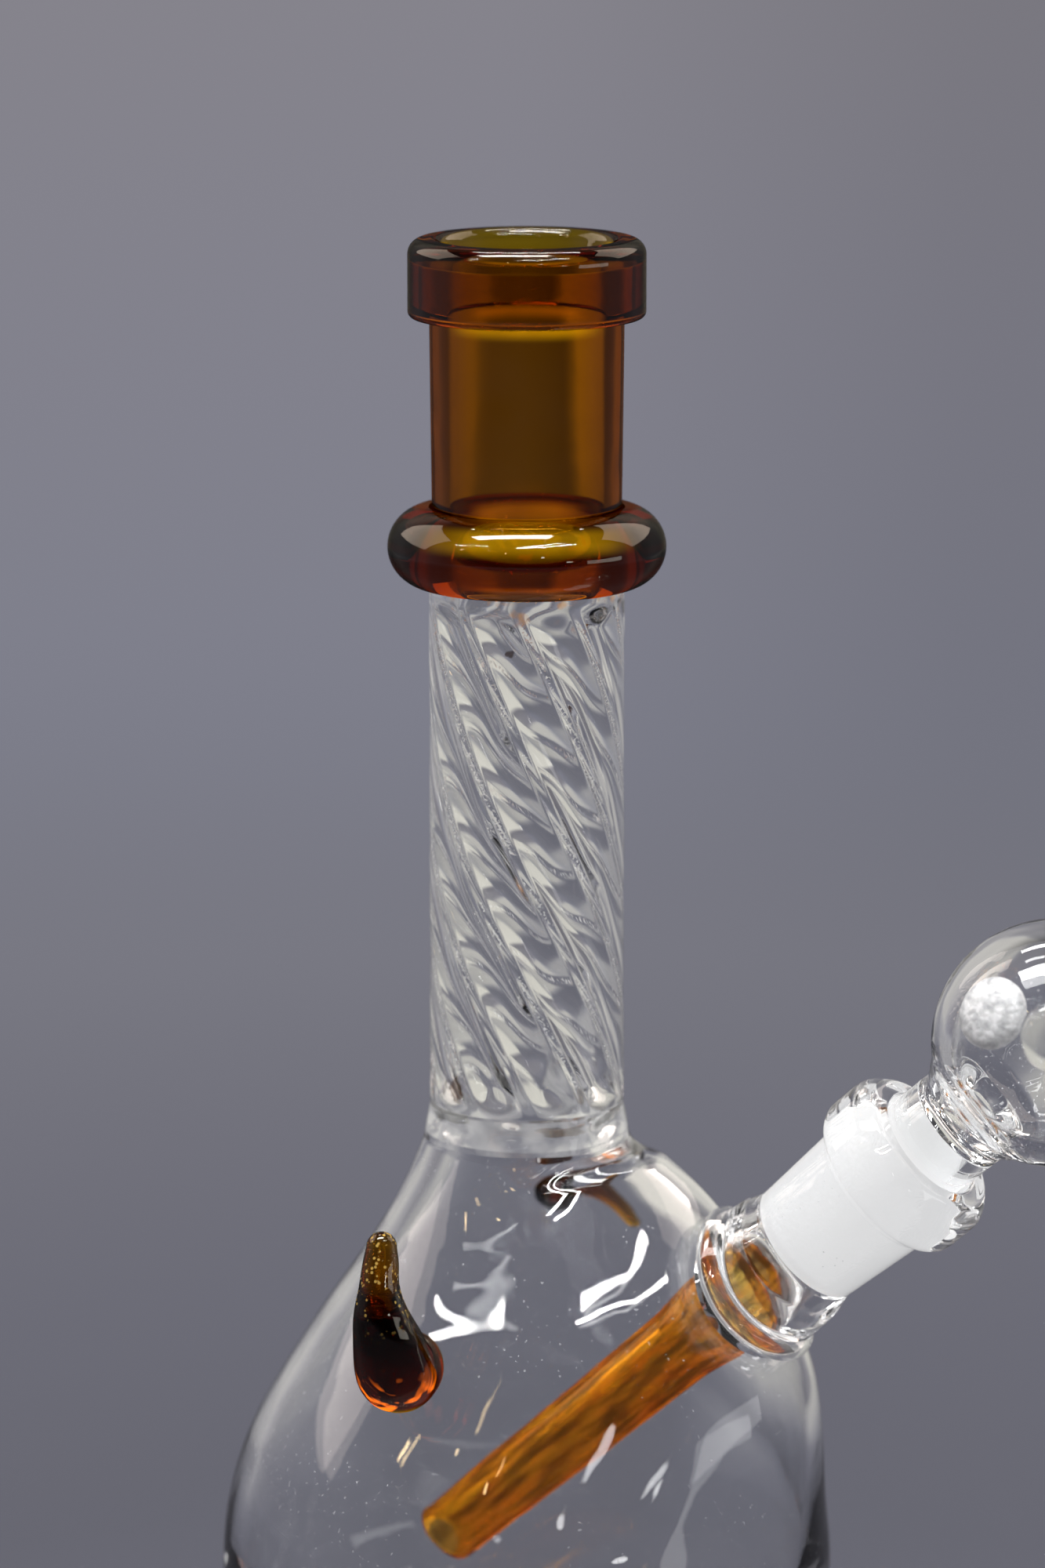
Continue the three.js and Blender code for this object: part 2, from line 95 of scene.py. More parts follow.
ARM = Matrix.Translation((0, 0, ARM_HEIGHT))
ARM = ARM @ Matrix.Rotation(-ARM_TURN, 4, "Z") @ Matrix.Rotation(math.pi / 2 - ARM_TILT, 4, "Y")
ARM_NP = np.array(ARM)
ARM_INVERSE = np.linalg.inv(ARM_NP)


# ---- Shapes ----
def transform(points, matrix):
    return points @ matrix[:3, :3].T + matrix[:3, 3]


def unit(vectors):
    return vectors / np.linalg.norm(vectors, axis=-1, keepdims=True)


def smoothstep(x, low, high):
    t = np.clip((x - low) / (high - low), 0, 1)
    return t * t * (3 - 2 * t)


def fillet(corners, steps=5):
    """Closed outline from (radius, height, rounding) corners, each rounding an arc tangent to both sides."""
    out = []
    count = len(corners)
    for i, (x, y, rounding) in enumerate(corners):
        here = np.array([x, y], float)
        if rounding <= 0:
            out.append(here)
            continue
        before = np.array(corners[i - 1][:2], float) - here
        after = np.array(corners[(i + 1) % count][:2], float) - here
        a, b = unit(before), unit(after)
        half = math.acos(max(-1.0, min(1.0, float(a @ b)))) / 2
        longest = 0.48 * min(np.linalg.norm(before), np.linalg.norm(after))
        reach = min(rounding / math.tan(half), longest)
        centre = here + unit(a + b) * reach * math.tan(half) / math.sin(half)
        first, last = here + a * reach - centre, here + b * reach - centre
        sweep = math.atan2(first[0] * last[1] - first[1] * last[0], float(first @ last))
        for turn in np.linspace(0, sweep, steps + 1):
            c, s = math.cos(turn), math.sin(turn)
            out.append(centre + np.array([c * first[0] - s * first[1], s * first[0] + c * first[1]]))
    return np.array(out)


def dense(outline, step):
    """The same closed outline with no segment longer than step."""
    out = []
    for a, b in zip(outline, np.roll(outline, -1, axis=0)):
        parts = max(1, int(math.ceil(np.linalg.norm(b - a) / step)))
        out += [a + (b - a) * k / parts for k in range(parts)]
    return np.array(out)


def arc(cx, cy, rx, ry, start, end, steps):
    angles = np.linspace(start, end, steps + 1)
    return np.stack([cx + rx * np.cos(angles), cy + ry * np.sin(angles)], 1)


def path_lengths(points):
    """How far along its own path each point lies."""
    return np.concatenate([[0], np.cumsum(np.linalg.norm(np.diff(points, axis=0), axis=1))])


def even_points(points, count):
    """The same open path with evenly spaced points."""
    along = path_lengths(points)
    even = np.linspace(0, along[-1], count)
    return np.stack([np.interp(even, along, points[:, k]) for k in range(points.shape[1])], 1)


def smooth_line(points, count):
    """A smooth curve through open points, evenly spaced, by Catmull-Rom."""
    points = np.array(points, float)
    padded = np.vstack([2 * points[0] - points[1], points, 2 * points[-1] - points[-2]])
    out = []
    for i in range(len(points) - 1):
        p0, p1, p2, p3 = padded[i : i + 4]
        for t in np.linspace(0, 1, 12, endpoint=False):
            square, cube = 2 * p0 - 5 * p1 + 4 * p2 - p3, 3 * p1 - p0 - 3 * p2 + p3
            out.append(0.5 * (2 * p1 + (p2 - p0) * t + square * t * t + cube * t**3))
    out.append(points[-1])
    return even_points(np.array(out), count)


def offset(outline, distance):
    """Open outline moved along its normals, to the inside for a rising outer wall."""
    tangent = unit(np.gradient(outline, axis=0))
    return outline + np.stack([-tangent[:, 1], tangent[:, 0]], 1) * np.reshape(distance, (-1, 1))


def revolve(outline, sides):
    """Grid of points (outline x sides) round +Z. A closed outline has no point on the axis."""
    angles = np.linspace(0, 2 * math.pi, sides, endpoint=False)
    r, z = outline[:, 0][:, None], outline[:, 1][:, None]
    return np.stack([r * np.cos(angles), r * np.sin(angles), z + 0 * angles], 2)


def mesh_from_grid(grid, wrap):
    """Vertices and faces of a closed surface: wrapped, or with its two end rows closed by poles."""
    rows, sides = grid.shape[:2]
    points = grid.reshape(-1, 3)
    faces = []
    for i in range(rows if wrap else rows - 1):
        j = (i + 1) % rows
        for k in range(sides):
            m = (k + 1) % sides
            faces.append((i * sides + k, i * sides + m, j * sides + m, j * sides + k))
    if not wrap:
        low, high = len(points), len(points) + 1
        points = np.vstack([points, grid[0].mean(0), grid[-1].mean(0)])
        top = (rows - 1) * sides
        faces += [((k + 1) % sides, k, low) for k in range(sides)]
        faces += [(top + k, top + (k + 1) % sides, high) for k in range(sides)]
    return points, faces


def turn_outward(mesh):
    mesh.calc_loop_triangles()
    corners = np.zeros(len(mesh.loop_triangles) * 3, np.int32)
    mesh.loop_triangles.foreach_get("vertices", corners)
    points = np.zeros(len(mesh.vertices) * 3)
    mesh.vertices.foreach_get("co", points)
    a, b, c = points.reshape(-1, 3)[corners.reshape(-1, 3)].transpose(1, 0, 2)
    if np.einsum("ij,ij->i", a, np.cross(b, c)).sum() < 0:
        mesh.flip_normals()


def shade(mesh, sharp):
    """Smooth shading, with an edge kept where faces meet at more than sharp degrees."""
    mesh.shade_smooth()
    mesh.set_sharp_from_angle(angle=math.radians(sharp))


def solid(name, points, faces):
    """A closed mesh object from points in millimetres."""
    mesh = bpy.data.meshes.new(name)
    mesh.from_pydata((np.asarray(points) * MM).tolist(), [], faces)
    mesh.validate()
    turn_outward(mesh)
    obj = bpy.data.objects.new(name, mesh)
    bpy.context.scene.collection.objects.link(obj)
    return obj


def add_piece(name, points, faces, materials, body, node, sharp=38):
    """A smooth-shaded piece of glass that rides on a body in place of a CAD node."""
    obj = solid(name, points, faces)
    shade(obj.data, sharp)
    for material in materials:
        obj.data.materials.append(material)
    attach(obj, body)
    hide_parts(node)
    return obj


def face_vectors(obj, field):
    values = np.zeros(len(obj.data.polygons) * 3)
    obj.data.polygons.foreach_get(field, values)
    return values.reshape(-1, 3)


def mark_faces(obj, fused):
    """Marks the faces that are fused to a neighbour, so that light passes them without bending."""
    layer = obj.data.attributes.new("joined", "FLOAT", "FACE")
    layer.data.foreach_set("value", np.where(fused, 1.0, 0.0))


def mark_joined(obj, test):
    """Marks the faces that pass test(radius, height, steep), steep being how upright a normal is."""
    centres = face_vectors(obj, "center") / MM
    steep = np.abs(face_vectors(obj, "normal")[:, 2])
    mark_faces(obj, test(np.hypot(centres[:, 0], centres[:, 1]), centres[:, 2], steep))


def frost_faces(obj, test):
    """Gives the second material to the faces whose centre, as radius and station on the arm, passes test."""
    local = transform(face_vectors(obj, "center") / MM, ARM_INVERSE)
    chosen = test(np.hypot(local[:, 0], local[:, 1]), local[:, 2])
    obj.data.polygons.foreach_set("material_index", np.where(chosen, 1, 0).astype(np.int32))


def cut(obj, tool):
    """Takes the tool's volume out of obj."""
    modifier = obj.modifiers.new("cut", "BOOLEAN")
    modifier.operation = "DIFFERENCE"
    modifier.solver = "EXACT"
    modifier.object = tool
    bpy.context.view_layer.update()
    obj.data = bpy.data.meshes.new_from_object(obj.evaluated_get(bpy.context.evaluated_depsgraph_get()))
    obj.modifiers.remove(modifier)
    shade(obj.data, 38)
    bpy.data.objects.remove(tool)


# ---- Materials ----
CLEAR_INDEX, AMBER_INDEX = 1.47, 1.48  # how strongly each glass bends light
CLEAR_SHADE, AMBER_SHADE = (0.93, 0.94, 0.95), (0.55, 0.25, 0.05)  # what is left of lamps' light behind each
AMBER_COLOUR, THICK_COLOUR, STEM_COLOUR = (0.835, 0.69, 0.03), (0.905, 0.80, 0.0), (0.93, 0.77, 0.0)
TAR, STEM_STAIN, RESIDUE_BROWN = (0.05, 0.016, 0.002), (0.9, 0.36, 0.0), (0.06, 0.028, 0.010)


def opaque(colour):
    """A node's colour: a socket as it is, or three numbers with full alpha."""
    return colour if isinstance(colour, bpy.types.NodeSocket) else (*colour, 1)


class Nodes:
    """A short way to write the node tree of a new material or world."""

    def __init__(self, owner):
        self.owner = owner
        owner.use_nodes = True
        self.tree = owner.node_tree
        self.tree.nodes.clear()

    def add(self, kind, inputs=None, **settings):
        node = self.tree.nodes.new(kind)
        for key, value in settings.items():
            setattr(node, key, value)
        for key, value in (inputs or {}).items():
            if isinstance(value, bpy.types.NodeSocket):
                self.tree.links.new(value, node.inputs[key])
            else:
                node.inputs[key].default_value = value
        return node

    def math(self, operation, a, b=0.0):
        return self.add("ShaderNodeMath", {0: a, 1: b}, operation=operation).outputs[0]

    def product(self, *factors):
        result = factors[0]
        for factor in factors[1:]:
            result = self.math("MULTIPLY", result, factor)
        return result

    def rest(self, share):
        return self.math("SUBTRACT", 1.0, share)

    def ramped(self, value, low, high, to_low=0.0, to_high=1.0, kind="LINEAR"):
        """A value between low and high, brought to another range and held inside it."""
        inputs = {0: value, 1: low, 2: high, 3: to_low, 4: to_high}
        return self.add("ShaderNodeMapRange", inputs, interpolation_type=kind).outputs[0]

    def eased(self, value, low, high, to_low=0.0, to_high=1.0):
        return self.ramped(value, low, high, to_low, to_high, kind="SMOOTHSTEP")

    def colours(self, value, stops):
        node = self.add("ShaderNodeValToRGB", {"Fac": value})
        elements = node.color_ramp.elements
        while len(elements) < len(stops):
            elements.new(0.5)
        for element, (place, colour) in zip(elements, stops):
            element.position = place
            element.color = opaque(colour)
        return node.outputs["Color"]

    def blend(self, share, a, b):
        return self.add("ShaderNodeMix", {0: share, 6: a, 7: b}, data_type="RGBA").outputs[2]

    def coordinates(self):
        return self.add("ShaderNodeTexCoord").outputs["Object"]

    def split(self, vector):
        return self.add("ShaderNodeSeparateXYZ", {0: vector}).outputs

    def measure(self, operation, a, b=(0, 0, 0)):
        """One number from vectors: a DISTANCE, DOT_PRODUCT or LENGTH."""
        return self.add("ShaderNodeVectorMath", {0: a, 1: b}, operation=operation).outputs["Value"]

    def scaled(self, vector, by):
        return self.add("ShaderNodeVectorMath", {0: vector, 3: by}, operation="SCALE").outputs[0]

    def noise(self, scale, detail, vector=None, distortion=0.0):
        place = vector or self.coordinates()
        inputs = {"Scale": scale, "Detail": detail, "Distortion": distortion, "Vector": place}
        return self.add("ShaderNodeTexNoise", inputs).outputs["Fac"]

    def above(self, value, limit):
        return self.math("GREATER_THAN", value, limit)

    def cells(self, scale, feature="F1"):
        inputs = {"Scale": scale, "Vector": self.coordinates()}
        return self.add("ShaderNodeTexVoronoi", inputs, feature=feature).outputs["Distance"]

    def bump(self, height, strength, distance):
        inputs = {"Height": height, "Strength": strength, "Distance": distance}
        return self.add("ShaderNodeBump", inputs).outputs["Normal"]

    def shader(self, kind, colour, **inputs):
        return self.add("ShaderNode" + kind, {"Color": opaque(colour), **inputs}).outputs[0]

    def emission(self, colour, strength):
        return self.shader("Emission", colour, Strength=strength)

    def glass(self, colour, normal, roughness=0.0):
        return self.add("ShaderNodeBsdfPrincipled", {
            "Base Color": opaque(colour), "Roughness": roughness, "IOR": CLEAR_INDEX,
            "Transmission Weight": 1.0, "Normal": normal,
        }).outputs[0]

    def mix(self, share, a, b):
        return self.add("ShaderNodeMixShader", {0: share, 1: a, 2: b}).outputs[0]

    def plus(self, a, b):
        return self.add("ShaderNodeAddShader", {0: a, 1: b}).outputs[0]

    def finish(self, surface, volume=None, lit_through=None):
        """Sets the outputs and returns the material.

        lit_through is the colour that lamps' light keeps on its way through glass. On such glass, faces
        marked as joined to a neighbour let all light straight through.
        """
        if lit_through is not None:
            joined = self.add("ShaderNodeAttribute", attribute_name="joined").outputs["Fac"]
            surface = self.mix(joined, surface, self.shader("BsdfTransparent", (1, 1, 1)))
            shadow = self.add("ShaderNodeLightPath").outputs["Is Shadow Ray"]
            surface = self.mix(shadow, surface, self.shader("BsdfTransparent", lit_through))
        out = self.add("ShaderNodeOutputMaterial", {"Surface": surface})
        if volume is not None:
            self.tree.links.new(volume, out.inputs["Volume"])
        return self.owner


def clear_glass(name, wobble=0.25, scale=70, dust=0.24, painted_glow=0.0):
    """Clear borosilicate: slightly uneven from the flame, with a trace of dust, and, where asked, patches of
    painted glow that stand in for bright light seen through the glass.
    """
    n = Nodes(bpy.data.materials.new(name))
    glass = n.glass((0.985, 0.99, 0.99), n.bump(n.noise(scale, 1.5), wobble, 0.0006))
    speck, patch = n.above(n.noise(2400, 0.0), 0.80), n.above(n.noise(55, 2.0), 0.52)
    surface = n.mix(n.product(speck, patch, dust), glass, n.shader("BsdfDiffuse", (0.7, 0.7, 0.72)))
    if painted_glow > 0:
        # Painted light: a whitish glow in noisy patches, standing in for bright surroundings seen through the
        # glass.
        glow_patches = n.ramped(n.noise(240, 2.0), 0.42, 0.62, painted_glow * 0.2, painted_glow)
        surface = n.mix(glow_patches, surface, n.emission((0.8, 0.79, 0.77), 0.85))
    return n.finish(surface, lit_through=CLEAR_SHADE)


def fluted_glass(name):
    """The neck's clear glass: bubbles and dust in its grooves, amber glints at its top, brown residue."""
    n = Nodes(bpy.data.materials.new(name))
    glass = n.glass((0.985, 0.988, 0.98), n.bump(n.noise(110, 1.5), 0.12, 0.0005))
    groove = n.add("ShaderNodeAttribute", attribute_name="groove").outputs["Fac"]
    speck = n.above(n.math("ADD", n.noise(3200, 0.0), n.product(groove, 0.16)), 0.74)
    share = n.product(speck, n.above(n.noise(120, 2.0), 0.47), groove, 0.8)
    surface = n.mix(share, glass, n.shader("BsdfDiffuse", (0.75, 0.75, 0.73)))
    _, _, z = n.split(n.coordinates())
    near_top = n.ramped(z, (NECK_TOP - 3.6) * MM, (NECK_TOP - 2.2) * MM)
    glint = n.ramped(n.noise(330, 2.0), 0.60, 0.70)
    surface = n.mix(n.product(near_top, glint, 0.45), surface, n.emission((0.62, 0.27, 0.03), 0.9))
    for middle, radius in RESIDUE:
        away = n.measure("DISTANCE", n.coordinates(), tuple(Vector(middle) * MM))
        ragged = n.product(n.math("SUBTRACT", n.noise(500, 2.0), 0.5), 4 * MM)
        spot = n.eased(n.math("ADD", away, ragged), radius * MM, 0.7 * radius * MM)
        surface = n.mix(n.product(spot, 0.75), surface, n.shader("BsdfDiffuse", RESIDUE_BROWN))
    return n.finish(surface, lit_through=CLEAR_SHADE)


def ground_glass(name):
    """The ground zone of a joint: white frosted glass lit by the lamps, and made brighter by a painted glow
    of its own.
    """
    n = Nodes(bpy.data.materials.new(name))
    normal = n.bump(n.noise(1600, 4.0), 0.25, 0.0002)
    white = n.colours(n.noise(45, 2.0), [(0.3, (0.88, 0.88, 0.89)), (0.7, (0.97, 0.97, 0.97))])
    rough = n.glass((0.97, 0.97, 0.98), normal, roughness=0.55)
    lit = n.shader("BsdfDiffuse", white, Normal=normal)
    through = n.shader("BsdfTranslucent", white, Normal=normal)
    # The frosted scatter takes the lamps' light; the emission mixed in is a painted glow.
    frost_and_glow = n.mix(0.78, n.mix(0.5, lit, through), n.emission(white, 0.90))
    return n.finish(n.mix(0.88, rough, frost_and_glow))


def crackled_glass(name):
    """Clear glass crazed all through, which looks white and granular."""
    n = Nodes(bpy.data.materials.new(name))
    normal = n.bump(n.cells(900.0, "DISTANCE_TO_EDGE"), 0.4, 0.0004)
    white = n.colours(n.noise(700, 4.0), [(0.35, (0.45, 0.46, 0.47)), (0.6, (0.93, 0.93, 0.94))])
    rough = n.glass((0.97, 0.97, 0.98), normal, roughness=0.25)
    grains = n.add("ShaderNodeBsdfPrincipled", {"Base Color": white, "Roughness": 0.2, "Normal": normal})
    return n.finish(n.mix(0.6, rough, grains.outputs[0]))


def horn_foam(n, surface):
    """Fine bubbles in the front horn's tip."""
    _, _, z = n.split(n.coordinates())
    dots = n.math("LESS_THAN", n.cells(1500.0), 0.3)
    share = n.product(dots, n.above(n.noise(220, 2.0), 0.46), n.eased(z, 67 * MM, 73 * MM), 0.6)
    return n.mix(share, surface, n.shader("BsdfDiffuse", (0.62, 0.40, 0.10)))


def horn_embers(n, surface, facing, outside):
    """Light caught in the front horn's foot: red embers, and a yellow rim below them."""
    _, _, z = n.split(n.coordinates())
    ember = n.ramped(n.noise(150, 2.0, distortion=1.5), 0.52, 0.64)
    fire = n.product(ember, n.eased(z, 64 * MM, 58 * MM), 1.7)
    rim = n.product(n.eased(z, 57.5 * MM, 54.5 * MM), n.eased(facing, 0.55, 0.85), outside, 0.7)
    surface = n.plus(surface, n.emission((0.9, 0.15, 0.004), fire))
    return n.plus(surface, n.emission((0.7, 0.36, 0.0), rim))


def caught_light(n, surface, low, high):
    """Light caught in thick glass: a faint yellow band between two heights, at the front and the back."""
    x, y, z = n.split(n.coordinates())
    radius = n.measure("LENGTH", n.add("ShaderNodeCombineXYZ", {0: x, 1: y}).outputs[0])
    front = n.eased(n.math("DIVIDE", n.math("ABSOLUTE", y), radius), 0.55, 0.95)
    rising, falling = n.eased(z, low * MM, (low + 2) * MM), n.eased(z, high * MM, (high - 1.2) * MM)
    cloudy = n.math("ADD", n.noise(160, 1.0), 0.3)
    return n.plus(surface, n.emission((0.8, 0.42, 0.0), n.product(rising, falling, front, cloudy, 0.4)))


def lengthwise(n, squeeze):
    """Texture coordinates in the arm's frame, drawn out along the arm by a small squeeze."""
    place = n.coordinates()
    across, level, along = [n.measure("DOT_PRODUCT", place, tuple(ARM.col[k][:3])) for k in range(3)]
    return n.add("ShaderNodeCombineXYZ", {0: across, 1: level, 2: n.product(along, squeeze)}).outputs[0]


def stem_film(n, surface):
    """Streaks along the downstem: an amber film that lights up, and dark tar."""
    grain = n.noise(620, 2.5, vector=lengthwise(n, 0.2))
    film = n.mix(0.5, n.shader("BsdfDiffuse", STEM_STAIN), n.shader("BsdfTranslucent", STEM_STAIN))
    surface = n.mix(n.ramped(grain, 0.5, 0.66, 0.04, 0.30), surface, film)
    return n.mix(n.ramped(grain, 0.47, 0.34, 0.0, 0.5), surface, n.shader("BsdfDiffuse", TAR))


def amber_glass(
    name, density=1400.0, colour=AMBER_COLOUR, wobble=0.15, shine_share=1.0,
    glow=None, horn=False, film=False,
):
    """Amber borosilicate, darker where it is thicker, with quiet reflections where it turns away.

    shine_share weakens what the outer side mirrors; glow is the band of heights for caught_light.
    """
    n = Nodes(bpy.data.materials.new(name))
    normal = n.bump(n.noise(90, 1.5), wobble, 0.0005)
    bent = n.shader("BsdfRefraction", (0.99, 0.97, 0.93), Roughness=0.0, IOR=AMBER_INDEX, Normal=normal)
    shine = n.shader("BsdfGlossy", (1.0, 0.93, 0.82), Roughness=0.0, Normal=normal)
    facing = n.add("ShaderNodeLayerWeight", {"Blend": 0.5, "Normal": normal}).outputs["Facing"]
    inside = n.add("ShaderNodeNewGeometry").outputs["Backfacing"]
    outside = n.rest(inside)
    quiet = n.product(n.eased(facing, 0.5, 0.8), 0.85, outside)
    fresnel = n.add("ShaderNodeFresnel", {"IOR": AMBER_INDEX, "Normal": normal}).outputs[0]
    weaker = n.math("ADD", n.product(inside, 1.0 - shine_share), shine_share)
    surface = n.mix(n.product(fresnel, weaker, n.rest(quiet)), bent, shine)
    if horn:
        surface = horn_embers(n, horn_foam(n, surface), facing, outside)
    if glow is not None:
        surface = caught_light(n, surface, *glow)
    if film:
        surface = stem_film(n, surface)
    absorb = n.shader("VolumeAbsorption", colour, Density=density)
    return n.finish(surface, volume=absorb, lit_through=AMBER_SHADE)


CLEAR = clear_glass("clear_glass_flame_polished")
CLEAR_NECK = fluted_glass("clear_glass_fluted_neck")
CLEAR_THICK = clear_glass("clear_glass_thick", wobble=0.35, scale=120)
# The two seals carry patches of painted glow, set by their last number.
CLEAR_SEAL = clear_glass("clear_glass_seal", wobble=0.6, scale=170, painted_glow=0.28)
CLEAR_ARM_SEAL = clear_glass("clear_glass_arm_seal", wobble=0.4, scale=150, painted_glow=0.06)
CLEAR_BALL = clear_glass("clear_glass_bowl", wobble=0.22, scale=120, dust=0.4)
AMBER_TUBE = amber_glass("amber_glass_tube", glow=(194.4, 197.0), shine_share=0.6)
AMBER_THICK = amber_glass("amber_glass_thick", density=820.0, colour=THICK_COLOUR)
AMBER_RING = amber_glass("amber_glass_ring", density=1150.0, colour=THICK_COLOUR, glow=(166.6, 170.7))
AMBER_STEM = amber_glass(
    "amber_glass_downstem", density=1000.0, colour=STEM_COLOUR, shine_share=0.3, film=True,
)
AMBER_HORN = amber_glass("amber_glass_horn", density=1500.0, wobble=0.4, horn=True)
AMBER_REAR = amber_glass("amber_glass_rear_horn", density=2200.0, wobble=0.2, shine_share=0.25)
GROUND = ground_glass("ground_glass_frost")
CRACKLED = crackled_glass("crackled_dot")


# ---- Flask ----
def flask_outer():
    """The flask's outer outline, from its foot up; the wall follows WALL_LEAN."""
    corner = arc(BASE_RADIUS, CORNER_HEIGHT, BELLY_RADIUS - BASE_RADIUS, CORNER_HEIGHT, -math.pi / 2, 0, 40)
    heights, lean = smooth_line(WALL_LEAN, 400).T
    slope = np.tan(np.radians(lean))
    drop = np.concatenate([[0], np.cumsum((slope[1:] + slope[:-1]) / 2 * np.diff(heights))])
    wall = np.stack([BELLY_RADIUS - drop, heights], 1)
    top = (np.interp(FLASK_TOP, heights, wall[:, 0]), FLASK_TOP)
    side = np.vstack([corner, [(BELLY_RADIUS, CORNER_HEIGHT + 1.5)], wall[wall[:, 1] < FLASK_TOP], [top]])
    curve = even_points(side, 190)
    for _ in range(12):
        curve[2:-2] = 0.25 * curve[1:-3] + 0.5 * curve[2:-2] + 0.25 * curve[3:-1]
    return curve


OUTER = flask_outer()


def flask_radius(height):
    return np.interp(height, OUTER[:, 1], OUTER[:, 0])


def seat(radius, angle):
    """Stations along the arm at which the flask's wall lies, at a radius and angles about the arm."""
    low, high = np.full_like(angle, 10.0), np.full_like(angle, 60.0)
    for _ in range(24):
        middle = (low + high) / 2
        p = transform(np.stack([radius * np.cos(angle), radius * np.sin(angle), middle], 1), ARM_NP)
        outside = np.hypot(p[:, 0], p[:, 1]) > flask_radius(p[:, 2])
        high, low = np.where(outside, middle, high), np.where(outside, low, middle)
    return high


SEAT_ANGLES = np.linspace(0, 2 * math.pi, 145)
SEAT = seat(WELD_RADIUS, SEAT_ANGLES)
SEAT_MEAN = SEAT[:-1].mean()
BOSS_LIFT = BOSS_TOP - SEAT_MEAN


def follow_wall(points, full, plain):
    """Moves points along the arm as the flask's wall runs: all of it at station full, none at plain."""
    share = np.clip((points[:, 2] - plain) / (full - plain), 0, 1)
    angle = np.mod(np.arctan2(points[:, 1], points[:, 0]), 2 * math.pi)
    points = points.copy()
    points[:, 2] += share * (np.interp(angle, SEAT_ANGLES, SEAT) - SEAT_MEAN)
    return points


def pull_boss(points):
    """Pulls the wall out round the arm, as far as the boss's top."""
    local = transform(points, ARM_INVERSE)
    near = 1 - smoothstep(np.hypot(local[:, 0], local[:, 1]), BOSS_INNER, BOSS_OUTER)
    below_top = smoothstep(FLASK_TOP - points[:, 2], 0, 5)
    local[:, 2] += np.where(local[:, 2] > 0, BOSS_LIFT * near * below_top, 0)
    return transform(local, ARM_NP)


def widen(points, push):
    """Moves points away from the axis by push."""
    radius = np.maximum(np.hypot(points[:, 0], points[:, 1]), 1)
    out = points.copy()
    out[:, :2] *= (1 + push / radius)[:, None]
    return out


def uneven_wall(points):
    """Swells the wall a little on the arm's side, at two heights, as it was worked by hand."""
    radius = np.maximum(np.hypot(points[:, 0], points[:, 1]), 1)
    side = np.maximum(points[:, 0] / radius, 0)
    lower = 0.14 * side * np.exp(-((points[:, 2] - 66) / 5) ** 2)
    upper = 0.35 * smoothstep(side, 0.2, 0.6) * np.exp(-((points[:, 2] - 78) / 5) ** 2)
    return widen(points, lower + upper)


def build_flask():
    inner = offset(OUTER, np.interp(OUTER[:, 1], *zip(*WALL_THICKNESS)))
    inner = inner[inner[:, 1] > FLOOR_CORNER]
    inner[-1, 1] = FLASK_TOP
    floor = smooth_line(FLOOR_DISH + [(inner[0, 0] - 3, inner[0, 1] - 0.05)], 16)
    outline = np.vstack([smooth_line(PUSH_UP, 14), OUTER, inner[::-1], floor[::-1]])
    points, faces = mesh_from_grid(revolve(outline, 160), wrap=False)
    points = pull_boss(uneven_wall(points))
    flask = add_piece("flask_body_glass", points, faces, [CLEAR], PIPE, "flask_body")
    bore = revolve(np.array([(BOSS_BORE, BOSS_TOP - 20), (BOSS_BORE, BOSS_TOP + 20)]), 96)
    points, faces = mesh_from_grid(bore, wrap=False)
    cut(flask, solid("tool", transform(points, ARM_NP), faces))
    mark_joined(flask, lambda r, z, steep: (z > FLASK_TOP - 0.02) & (steep > 0.9))


build_flask()


# ---- Upright stack ----
def turned(
    name, outline, materials, node, body=PIPE, sides=128, step=2.0, matrix=None, shape=None, sharp=38,
):
    """A piece turned from a closed outline, then reshaped and placed where asked."""
    points, faces = mesh_from_grid(revolve(dense(outline, step), sides), wrap=True)
    if shape is not None:
        points = shape(points)
    if matrix is not None:
        points = transform(points, matrix)
    return add_piece(name, points, faces, materials, body, node, sharp)


def uneven_seal(points):
    """The seal, worked unevenly by the flame, mostly inside; its ends stay round."""
    angle = np.arctan2(points[:, 1], points[:, 0])
    middle = np.clip(1 - np.abs(points[:, 2] - 88.0) / 2.2, 0, 1) ** 1.5
    inside = np.clip((12.0 - np.hypot(points[:, 0], points[:, 1])) / 1.5, 0, 1)
    inner_push = 0.3 * np.sin(5 * angle + 0.6) + 0.18 * np.sin(9 * angle + 2)
    outer_push = 0.1 * np.sin(4 * angle)
    return widen(points, middle * (inside * inner_push + (1 - inside) * outer_push))


def build_shoulder_weld():
    shoulder = flask_radius(FLASK_TOP)
    outline = fillet([
        (shoulder, FLASK_TOP + SEAM, 0), (13.45, 88.0, 3.0), (NECK_RADIUS, NECK_BOTTOM - SEAM, 0),
        (NECK_BORE, NECK_BOTTOM - SEAM, 0), (9.9, 88.1, 2.6), (shoulder - 3.1, FLASK_TOP + SEAM, 0),
    ], 8)
    weld = turned(
        "shoulder_weld_ring", outline, [CLEAR_SEAL], "shoulder_weld",
        step=0.4, shape=uneven_seal,
    )
    low, high = FLASK_TOP + 2 * SEAM, NECK_BOTTOM - 2 * SEAM
    mark_joined(weld, lambda r, z, steep: (steep > 0.9) & ((z < low) | (z > high)))


build_shoulder_weld()


